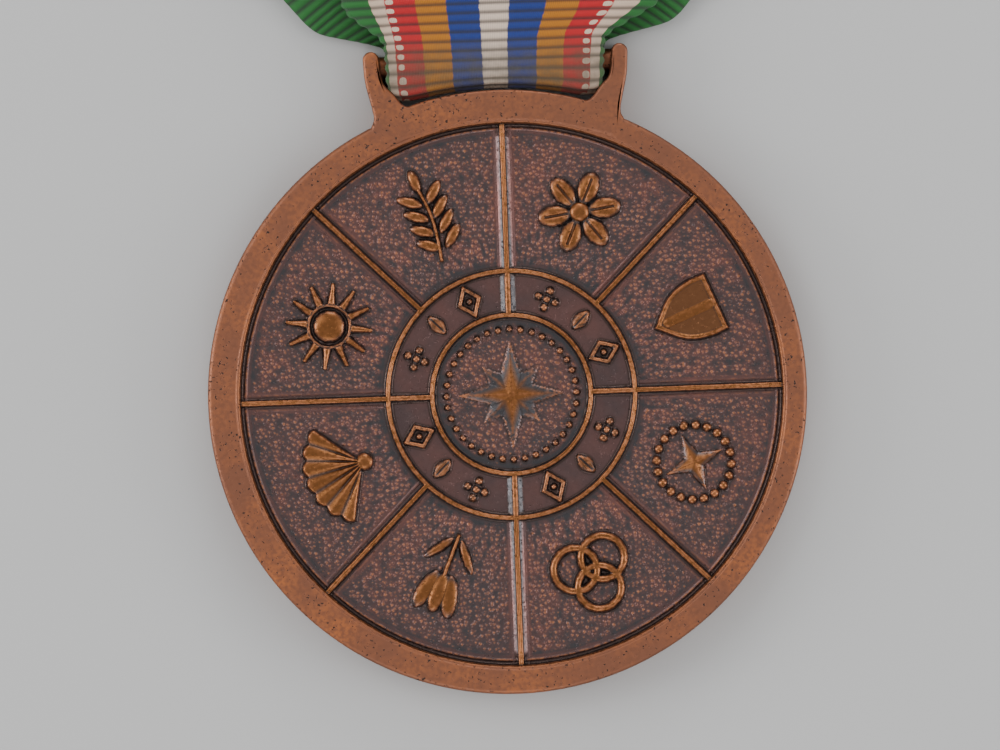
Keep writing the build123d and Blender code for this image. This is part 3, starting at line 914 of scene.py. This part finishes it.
# %% Crossbar
def turned(name, profile, centre, around, material, marks):
    """A profile of (x, radius) turned about the x axis through centre (y, z); its ends are closed by caps."""
    profile = np.asarray(profile, float)
    angle = np.linspace(0, 2 * math.pi, around, endpoint=False)
    x = np.repeat(profile[:, :1], around, 1)
    y = centre[0] + profile[:, 1:] * np.cos(angle)
    z = centre[1] + profile[:, 1:] * np.sin(angle)
    rows = len(profile)
    ends = [np.arange(around)[::-1], (rows - 1) * around + np.arange(around)]
    marks = {label: np.full((rows, around), value) for label, value in marks.items()}
    return make_piece(name, np.stack([x, y, z], -1), grid_quads(rows, around, False, True), ends,
                      None, marks, material)


bar_radius = 0.8
bar_half = slot_high_half + ear_width / 2
bar_profile = [(t, bar_radius) for t in np.linspace(-bar_half, bar_half, 24)]
struck(turned("crossbar", bar_profile, (bar_y, bar_z), 32, bronze, plain_metal))


# %% Reverse
wreath_radius = 13.0


def wreath(x, y):
    """Leaf pairs along two arcs that meet at the bottom: each a dome on an ellipse slanted from the stem."""
    radius, angle = np.hypot(x, y), np.arctan2(y, x)
    parts = [ridge(np.abs(radius - wreath_radius), 0.2, 0.22) * (np.abs(angle - math.pi / 2) > 0.42)]
    for side in (-1, 1):
        for k in range(15):
            place = -math.pi / 2 + side * math.radians(7 + 10 * k)
            cx, cy = wreath_radius * math.cos(place), wreath_radius * math.sin(place)
            near = np.hypot(x - cx, y - cy) < 3
            for lean in (-0.6, 0.6):
                turn = place + side * (math.pi / 2 - lean)
                leaf = oval(x, y, (cx + 0.85 * math.cos(turn), cy + 0.85 * math.sin(turn)), 1.05, 0.4, turn)
                parts.append(np.where(near, dome(leaf, 0.32, 0.4), 0))
    return highest(*parts)


reverse_edge = inner_back - 0.02
reverse_x, reverse_y, reverse_quads, reverse_border = disc_grid(reverse_edge, 288)
reverse_radius = np.hypot(reverse_x, reverse_y)
reverse_height = highest(wreath(reverse_x, reverse_y),
                         back_field * ease((reverse_radius - reverse_edge + 0.4) / 0.4))
reverse_marks = wear_numbers(reverse_height, ease((reverse_radius - reverse_edge + 0.3) / 0.3), 0.3)
disc_piece("reverse", reverse_x, reverse_y, back_field - reverse_height, reverse_quads, reverse_border,
           0.9, 0.0, reverse_marks)

# %% [markdown]
# ## The ribbon
# A medal ribbon is a corded silk weave: fine warp threads over thick cross ribs. One strip is threaded
# round the crossbar and the brooch's rod and lapped behind. At the slot it is squeezed: the stripes in the
# middle stay flat and the green edges fold under. It is laid directly as a strip, because a simulation
# would stretch the ribs, and each rib is a real swelling of the mesh.

# %% Path of the strip
ply = 0.28
ribbon_width = 35.0
bar_turn, rod_turn = 1.38, 1.14
lap_start, lap_length = 9.0, 8.0
rib_pitch = 0.63
span_y, span_z = rod_y - bar_y, rod_z - bar_z
span = math.hypot(span_y, span_z)
slope = math.atan2(span_z, span_y)
swing = math.acos((bar_turn - rod_turn) / span)
leaf = math.sqrt(span**2 - (bar_turn - rod_turn)**2)
bar_arc, rod_arc = bar_turn * 2 * (math.pi - swing), rod_turn * 2 * swing
lengths = np.array([leaf - lap_start, bar_arc, leaf, rod_arc, lap_start + lap_length])
marks_along = np.concatenate([[0], np.cumsum(lengths)])
ribbon_length = float(marks_along[-1])
print(f"strip {ribbon_length:.1f} long: " + ", ".join(f"{value:.1f}" for value in lengths))


def leaf_foot(angle):
    """Where a leaf whose normal has this angle leaves the fold: the fold's radius out from the crossbar."""
    return np.array([bar_y, bar_z]) + bar_turn * np.array([math.cos(angle), math.sin(angle)])


def strip_line(s):
    """Centre line (y, z), outward normal (y, z), distance from the crossbar, and 1 on the front leaf."""
    front, back = slope + swing, slope - swing
    place = np.clip(np.searchsorted(marks_along, s, side="right") - 1, 0, 4)
    along = s - marks_along[place]
    angle = np.select([place == 0, place == 1, place == 2, place == 3],
                      [np.full(s.shape, back), back - along / bar_turn, np.full(s.shape, front),
                       front - along / rod_turn], back)
    normal = np.stack([np.cos(angle), np.sin(angle)], -1)
    up = np.where(place == 2, along, 0) + np.where(place == 0, lengths[0] - along, 0)
    up = np.where(place == 3, leaf, up) + np.where(place == 4, leaf - along, 0)
    radius = np.where(place >= 3, rod_turn, bar_turn)
    centre = np.where((place >= 3)[:, None], (rod_y, rod_z), (bar_y, bar_z))
    line = centre + radius[:, None] * normal
    run_back = np.array([-math.sin(back), math.cos(back)])
    run_front = np.array([math.sin(front), -math.cos(front)])
    line = np.where((place == 2)[:, None], leaf_foot(front) + up[:, None] * run_front, line)
    line = np.where(((place == 0) | (place == 4))[:, None], leaf_foot(back) + up[:, None] * run_back, line)
    lift = np.where(place == 4, ease((along - lap_start + 3) / 3) * (ply + 0.06), 0)
    share = np.select([place == 2, place == 3, place == 1], [np.ones(s.shape), 1 - along / rod_arc,
                      2 * along / bar_arc], 0.0)
    return line - lift[:, None] * normal, normal, up, np.clip(share, 0, 1)


# %% [markdown]
# The squeeze is given at a few stations up each leaf. A station says, for six places across half the strip,
# how far out that place lies and how deep it drops behind the leaf's face. Between stations both are
# interpolated, and a light smoothing rounds the folds.

# %% Stations of the squeeze
across_knots = (0.0, 7.9, 10.1, 12.0, 12.8, 17.5)
front_heights = (0.0, 1.9, 4.0, 12.0)
front_left = ((0, 6.7, 7.05, 7.2, 7.0, 3.7), (0, 6.8, 7.15, 7.3, 7.1, 3.8),
              (0, 7.3, 8.0, 10.0, 9.7, 5.6), across_knots)
front_right = ((0, 6.4, 6.9, 7.1, 6.9, 3.6), (0, 6.6, 7.1, 7.3, 7.1, 3.8),
               (0, 8.2, 9.9, 11.2, 10.9, 6.8), across_knots)
front_depth = ((0, 0, 0.06, 0.14, 0.34, 0.34), (0, 0.1, 0.3, 0.5, 0.85, 0.85),
               (0, 0.35, 0.95, 1.15, 1.5, 1.5), (0, 0.02, 0.06, 0.1, 0.12, 0.16))
back_heights = (0.0, 1.9, 3.3, 5.5, 7.7, 12.5, 16.0)
back_side = ((0, 4.1, 5.1, 5.9, 6.2, 7.2), (0, 4.3, 5.3, 6.1, 6.4, 7.4), (0, 5.0, 6.2, 7.1, 7.5, 9.1),
             (0, 6.2, 7.8, 9.1, 9.7, 11.7), (0, 6.8, 8.6, 10.0, 10.5, 13.1), (0, 7.8, 10.0, 11.9, 12.6, 17.2),
             across_knots)
back_depth = ((0.28, 0.28, 0.32, 0.28, 0.32, 0.28), (0.28, 0.3, 0.36, 0.3, 0.36, 0.3),
              (0.26, 0.3, 0.4, 0.3, 0.4, 0.28), (0.24, 0.26, 0.34, 0.25, 0.34, 0.24),
              (0.2, 0.22, 0.28, 0.2, 0.28, 0.2), (0.1, 0.08, 0.1, 0.06, 0.1, 0.06), (0, 0, 0.03, 0, 0.03, 0))


def at_stations(heights, stations, up, across):
    """Interpolates first across, at every station, and then up the leaf between stations."""
    table = np.array([np.interp(across, across_knots, station) for station in stations])
    place = np.clip(np.searchsorted(heights, up, side="right") - 1, 0, len(heights) - 2)
    low, high = np.array(heights)[place], np.array(heights)[place + 1]
    share = np.clip((up - low) / (high - low), 0, 1)[:, None]
    return table[place] * (1 - share) + table[place + 1] * share


def soften(values, passes, axis):
    """Repeated 1-2-1 averaging along one axis, ends held."""
    values = np.moveaxis(values, axis, 0).copy()
    for _ in range(passes):
        values[1:-1] = (values[:-2] + 2 * values[1:-1] + values[2:]) / 4
    return np.moveaxis(values, 0, axis)


# %% Ribbon surface
strip_rows = 990
half_across = np.concatenate([np.linspace(0.5, 7.2, 7), np.linspace(7.9, 14.0, 12),
                              np.linspace(14.8, ribbon_width / 2, 5)])
across = np.concatenate([-half_across[::-1], half_across])
edge_column, middle_columns = 3, slice(20, 28)
strip_s = np.linspace(0, ribbon_length, strip_rows)
line, normal, up, share = strip_line(strip_s)


def squeeze(side, wide):
    """Sideways place and depth of one half of the strip, front and back stations mixed by share."""
    front = front_left if side < 0 else front_right
    mix = share[:, None]
    out = (at_stations(front_heights, front, up, wide) * mix
           + at_stations(back_heights, back_side, up, wide) * (1 - mix))
    deep = (at_stations(front_heights, front_depth, up, wide) * mix
            + at_stations(back_heights, back_depth, up, wide) * (1 - mix))
    return side * out, deep


left_x, left_deep = squeeze(-1, half_across)
right_x, right_deep = squeeze(1, half_across)
strip_x = np.hstack([left_x[:, ::-1], right_x])
strip_deep = np.hstack([left_deep[:, ::-1], right_deep])
strip_x = soften(soften(strip_x, 14, 0), 1, 1)
strip_deep = soften(soften(strip_deep, 14, 0), 1, 1)
edge_share = (np.abs(across) / (ribbon_width / 2))**2
lag_up = (4.0 * (1 - share) + 0.5 * share)[:, None]
lag = lag_up * edge_share * (ease(up / 8) * ease((34 - up) / 26))[:, None]
neck_fall = neck_radius - np.sqrt(neck_radius**2 - np.clip(np.abs(strip_x), 0, slot_low_half)**2)
strip_deep -= 0.8 * neck_fall * (ease((share - 0.6) / 0.4) * (1 - ease(up / 3)))[:, None]
run = np.stack([-normal[:, 1], normal[:, 0]], -1) * np.where(share > 0.5, -1, 1)[:, None]
middle_y = line[:, :1] - strip_deep * normal[:, :1] - lag * np.abs(run[:, :1])
middle_z = line[:, 1:] - strip_deep * normal[:, 1:]
middle = np.stack([strip_x, middle_y, middle_z], -1)
# The slot's half width at six heights above the disc's centre: the strip is held 0.2 mm inside it.
slot_rise = np.array([19.45, 19.76, 20.4, 21.2, 22.1, 23.2])
slot_side = np.array([5.95, 6.4, 6.95, 7.5, 7.75, 9.5])
room = np.interp(middle_y[:, edge_column] - disc_y, slot_rise, slot_side) - 0.2
narrowing = np.minimum(1, room / np.abs(strip_x).max(1)) * (up < 0.9) + (up >= 0.9)
middle[..., 0] *= soften(narrowing[:, None], 10, 0)
facing = np.cross(np.gradient(middle, axis=1), np.gradient(middle, axis=0))
facing /= np.linalg.norm(facing, axis=-1)[..., None] + 1e-9
toward = np.stack([np.zeros(strip_rows), normal[:, 0], normal[:, 1]], -1)[:, None, :]
if np.mean(np.sum(facing[:, middle_columns] * toward, -1)) < 0:
    facing = -facing
rib = np.abs(np.sin(math.pi * strip_s / rib_pitch))[:, None]
half_ply = (ply / 2 + 0.17 * (rib - 0.5))[..., None]
outer, inner = middle + facing * half_ply, middle - facing * half_ply
strip_points = np.concatenate([outer, inner[:, ::-1]], 1)
strip_columns = strip_points.shape[1]
strip_across = np.concatenate([across, across[::-1]])[None].repeat(strip_rows, 0)
strip_along = strip_s[:, None].repeat(strip_columns, 1)
# Darker round the crossbar fold and at the slot: painted shade where the ribbon turns in, with dirt from
# handling.
near_slot = np.where(share[:, None] > 0.5, 1 - ease(up / 2.6)[:, None], 1 - ease(up / 1.8)[:, None])
strip_marks = {"across": strip_across, "along": strip_along, "shade_and_soil": near_slot.repeat(strip_columns, 1),
               "rib": np.repeat(rib, strip_columns, 1)}


# %% [markdown]
# ## Silk
# Eleven stripes are woven in from dyed warp, mirrored about the white middle. The warp shows as fine lines of
# painted shade up the ribbon, and the ribs as painted shade between them. Where the red meets the cream,
# cream threads float over each rib, so that border is scalloped. The slot is painted grey-brown: painted
# shade where the ribbon turns into it, and dirt from handling.

# %% Ribbon material
white_half, blue_edge, gold_edge, red_edge, cream_edge = 1.0, 3.4, 5.6, 7.9, 10.1
silk_green, silk_cream = (0.014, 0.110, 0.020), (0.500, 0.370, 0.280)
silk_red, silk_gold = (0.360, 0.006, 0.010), (0.330, 0.115, 0.004)
silk_blue, silk_white = (0.008, 0.024, 0.150), (0.520, 0.410, 0.330)
# The slot's grey-brown is painted shade with dirt from handling.
# silk_shade is painted shade, for the grooves between ribs and the lines between threads.
silk_shade, shade_and_dirt = (0.02, 0.02, 0.02), (0.060, 0.050, 0.030)
thread_pitch = 0.13


def silk_material():
    """Stripes by the distance across; painted shade in thread lines, rib grooves and, with dirt, at the slot.
    """
    material, tree, shader = start_material("ribbon_silk", 0.0, 0.72)
    shader.inputs["Sheen Weight"].default_value = 0.08
    shader.inputs["Specular IOR Level"].default_value = 0.25
    wide = math_node(tree, "ABSOLUTE", attribute(tree, "across"))
    rib_value = attribute(tree, "rib")
    fray = math_node(tree, "MULTIPLY", math_node(tree, "SUBTRACT", noise_node(tree, 2600.0), 0.5), 0.22)
    place = math_node(tree, "ADD", wide, fray)
    colour = None
    for limit, shade in ((white_half, silk_white), (blue_edge, silk_blue), (gold_edge, silk_gold),
                         (red_edge, silk_red), (cream_edge, silk_cream), (99.0, silk_green)):
        if colour is None:
            colour, last = shade, limit
            continue
        colour = mix_colour(tree, range_node(tree, place, last - 0.04, last + 0.04), colour, shade)
        last = limit
    wander = math_node(tree, "MULTIPLY", math_node(tree, "SUBTRACT", noise_node(tree, 700.0, 1.0), 0.5), 0.5)
    from_edge = math_node(tree, "SUBTRACT", math_node(tree, "ADD", wide, wander), red_edge - 0.36)
    beside = math_node(tree, "DIVIDE", from_edge, 0.30)
    off_rib = math_node(tree, "DIVIDE", math_node(tree, "SUBTRACT", 1.0, rib_value), 0.38)
    reach = math_node(tree, "ADD", math_node(tree, "MULTIPLY", beside, beside),
                      math_node(tree, "MULTIPLY", off_rib, off_rib))
    float_mask = math_node(tree, "MULTIPLY", math_node(tree, "SUBTRACT", 1.0, reach), 6.0, clamp=True)
    colour = mix_colour(tree, float_mask, colour, silk_cream)
    turns = math_node(tree, "MULTIPLY", attribute(tree, "across"), math.pi / thread_pitch)
    thread = math_node(tree, "ABSOLUTE", math_node(tree, "SINE", turns))
    # Painted shade in the grooves between the ribs.
    shade_rib = range_node(tree, rib_value, 0.05, 0.8, 0.88, 0.0)
    dark = mix_colour(tree, shade_rib, colour, silk_shade)
    # Painted shade in the fine lines between the warp threads.
    dark = mix_colour(tree, range_node(tree, thread, 0.0, 0.45, 0.42, 0.0), dark, silk_shade)
    patches = range_node(tree, noise_node(tree, 900.0), 0.3, 0.7, 0.5, 1.0)
    # Painted shade and dirt at the slot, in patches.
    shade_and_grime = math_node(tree, "MULTIPLY", attribute(tree, "shade_and_soil"), patches)
    final = mix_colour(tree, range_node(tree, shade_and_grime, 0.1, 1.0, 0.0, 0.72), dark, shade_and_dirt)
    tree.links.new(final, shader.inputs["Base Color"])
    tree.links.new(bump_node(tree, thread, 0.04, 0.5), shader.inputs["Normal"])
    return material


silk = silk_material()
strip_ends = [np.arange(strip_columns)[::-1], (strip_rows - 1) * strip_columns + np.arange(strip_columns)]
ribbon_piece = make_piece("striped_ribbon", strip_points, grid_quads(strip_rows, strip_columns, False, True),
                          strip_ends, None, strip_marks, silk)
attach(ribbon_piece, "ribbon")
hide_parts("ribbon")

# %% [markdown]
# ## Stitches
# Two rows of stitches hold the lap. Each is a loop of thread through both plies: a ring drawn out to the
# stitch's length, whose thickness wavers as twisted thread does.

# %% Thread material
thread_material, thread_tree, thread_shader = start_material("green_thread", 0.0, 0.85)
thread_shader.inputs["Sheen Weight"].default_value = 0.3
twist = noise_node(thread_tree, 5200.0, 2.0, 0.5, (1.0, 0.35, 1.0))
thread_colour = mix_colour(thread_tree, range_node(thread_tree, twist, 0.35, 0.65),
                           (0.018, 0.080, 0.022), (0.060, 0.210, 0.070))
thread_tree.links.new(thread_colour, thread_shader.inputs["Base Color"])
thread_tree.links.new(bump_node(thread_tree, twist, 0.05, 0.8), thread_shader.inputs["Normal"])

# %% Stitch loops
stitch_low, stitch_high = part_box("seam_stitches")
stitch_length, thread_radius, stitch_pitch, stitches_across = 1.8, 0.11, 3.1, 11
row_places = (stitch_low.y / mm + 0.45, stitch_high.y / mm - 0.45)
back_foot_y, back_foot_z = leaf_foot(slope - swing)
loop_turns, loop_around = 20, 6


def stitch_loop(centre_x, centre_y):
    """A thread ring: its middle line is a rounded slot of stitch length by lap depth, in the x-z plane."""
    t = np.linspace(0, 2 * math.pi, loop_turns, endpoint=False)
    depth = ply + 0.16
    centre_z = back_foot_z + (centre_y - back_foot_y) * math.tan(slope) + depth / 2 - 0.02
    along = np.sign(np.cos(t)) * np.abs(np.cos(t))**0.6 * stitch_length / 2
    high = np.sign(np.sin(t)) * np.abs(np.sin(t))**0.6 * depth / 2
    path = np.stack([centre_x + along, np.full(t.shape, centre_y), centre_z + high], -1)
    heading = np.roll(path, -1, 0) - np.roll(path, 1, 0)
    heading /= np.linalg.norm(heading, axis=1)[:, None]
    side = np.array([0.0, 1.0, 0.0])
    third = np.cross(heading, side)
    ring = np.linspace(0, 2 * math.pi, loop_around, endpoint=False)
    swell = thread_radius * (1 + 0.12 * np.sin(6 * t))[:, None, None]
    section = np.cos(ring)[None, :, None] * side + np.sin(ring)[None, :, None] * third[:, None]
    return path[:, None] + swell * section


stitch_points, stitch_quads = [], []
for row_y in row_places:
    for k in range(stitches_across):
        loop = stitch_loop((k - (stitches_across - 1) / 2) * stitch_pitch, row_y)
        first = len(stitch_points) * loop_turns * loop_around
        stitch_quads.append(grid_quads(loop_turns, loop_around, True, True) + first)
        stitch_points.append(loop.reshape(-1, 3))
stitches = make_piece("lap_stitches", np.vstack(stitch_points), np.vstack(stitch_quads), (), None, None,
                      thread_material)
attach(stitches, "ribbon")
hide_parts("seam_stitches")

# %% [markdown]
# ## Brooch finishes
# The brooch is cut brass with a drawn steel needle. Its shapes are right in the frame, so the nodes stay
# and take a finish: dull brass with brown in the mottling, and steel with fine lines along the wire.

# %% Brass and steel
def brass_material():
    """Dull brass, browner in patches, with dark specks and a fine grain."""
    material, tree, shader = start_material("brooch_brass", 1.0, 0.38)
    spots = place_group(tree, mottle, Coarse=520.0, Fine=3000.0)
    holes = place_group(tree, pits, Scale=4200.0, Cover=0.72)["Mask"]
    colour = mix_colour(tree, spots["Amount"], (0.300, 0.180, 0.070), (0.520, 0.360, 0.150))
    colour = mix_colour(tree, holes, colour, (0.050, 0.035, 0.020))
    tree.links.new(colour, shader.inputs["Base Color"])
    tree.links.new(range_node(tree, spots["Grain"], 0.0, 1.0, 0.28, 0.48), shader.inputs["Roughness"])
    tree.links.new(bump_node(tree, spots["Grain"], 0.012, 0.5), shader.inputs["Normal"])
    return material


def steel_material():
    """Drawn steel: fine lines along the wire, and a little rust-brown mottling."""
    material, tree, shader = start_material("pin_steel", 1.0, 0.3)
    spots = place_group(tree, mottle, Coarse=700.0, Fine=2600.0)
    drawn = noise_node(tree, 6000.0, 2.0, 0.5, (0.04, 1.0, 1.0))
    lines = range_node(tree, drawn, 0.3, 0.7)
    colour = mix_colour(tree, lines, (0.420, 0.410, 0.400), (0.640, 0.630, 0.610))
    rust = range_node(tree, spots["Amount"], 0.7, 1.0, 0.0, 0.4)
    colour = mix_colour(tree, rust, colour, (0.200, 0.110, 0.060))
    tree.links.new(colour, shader.inputs["Base Color"])
    tree.links.new(range_node(tree, drawn, 0.3, 0.7, 0.22, 0.42), shader.inputs["Roughness"])
    tree.links.new(bump_node(tree, drawn, 0.008, 0.4), shader.inputs["Normal"])
    return material


brass, steel = brass_material(), steel_material()
for name, finish in (("brooch_rod", brass), ("hinge_bracket", brass), ("catch_housing", brass),
                     ("catch_lock", brass), ("hinge_rivet", steel), ("pin_stem", steel)):
    node = frame["nodes"][name]
    node.data.materials.clear()
    node.data.materials.append(finish)
print("brooch finished")
